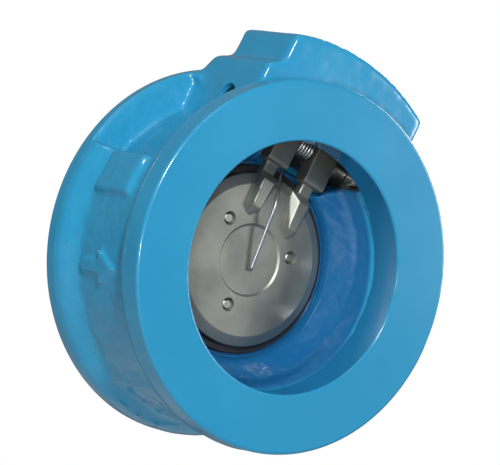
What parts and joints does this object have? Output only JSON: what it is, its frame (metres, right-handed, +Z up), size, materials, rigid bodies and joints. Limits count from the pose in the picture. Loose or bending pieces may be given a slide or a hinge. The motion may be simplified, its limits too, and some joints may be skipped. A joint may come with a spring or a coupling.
{
  "type": "wafer check valve",
  "caption": "Wafer check valve: painted round body with a stepped hinge lug, and a spring-closed stainless disc that swings open towards the outlet.",
  "frame": {"origin": "pipe axis at the centre of the inlet face", "axes": "+Y along the pipe towards the inlet side (flow runs towards -Y), +Z up through the hinge lug, +X to the right seen from the outlet"},
  "size_m": [0.218, 0.098, 0.2435],
  "materials": {
    "body_paint": "glossy epoxy paint",
    "disc_steel": "satin cast stainless steel",
    "seal_rubber": "moulded",
    "retainer_steel": "turned stainless steel",
    "screw_steel": "rolled stainless steel",
    "pin_steel": "ground stainless steel",
    "spring_steel": "drawn stainless spring wire",
    "spacer_steel": "turned stainless steel",
    "plug_steel": "blackened steel",
    "gasket_copper": "annealed copper"
  },
  "bodies": {
    "root": {"valve_body": "body_paint", "hinge_pin": "pin_steel", "hinge_spacer_left": "spacer_steel", "hinge_spacer_right": "spacer_steel", "torsion_spring": "spring_steel", "pin_plug_left": "plug_steel", "pin_plug_right": "plug_steel", "plug_gasket_left": "gasket_copper", "plug_gasket_right": "gasket_copper"},
    "disc": {"valve_disc": "disc_steel", "disc_seal": "seal_rubber", "seal_retainer": "retainer_steel", "retainer_screw_1": "screw_steel", "retainer_screw_2": "screw_steel", "retainer_screw_3": "screw_steel", "screw_washer_1": "screw_steel", "screw_washer_2": "screw_steel", "screw_washer_3": "screw_steel"}
  },
  "joints": [
    {"name": "disc_hinge", "type": "hinge", "parent": "root", "child": "disc", "pos_m": [0, -0.0465, 0.077], "axis": [-1, 0, 0], "range_deg": [0, 60], "stiffness_Nm_per_rad": 0.7, "springref_deg": -28.65, "deforming": ["torsion_spring"]}
  ]
}
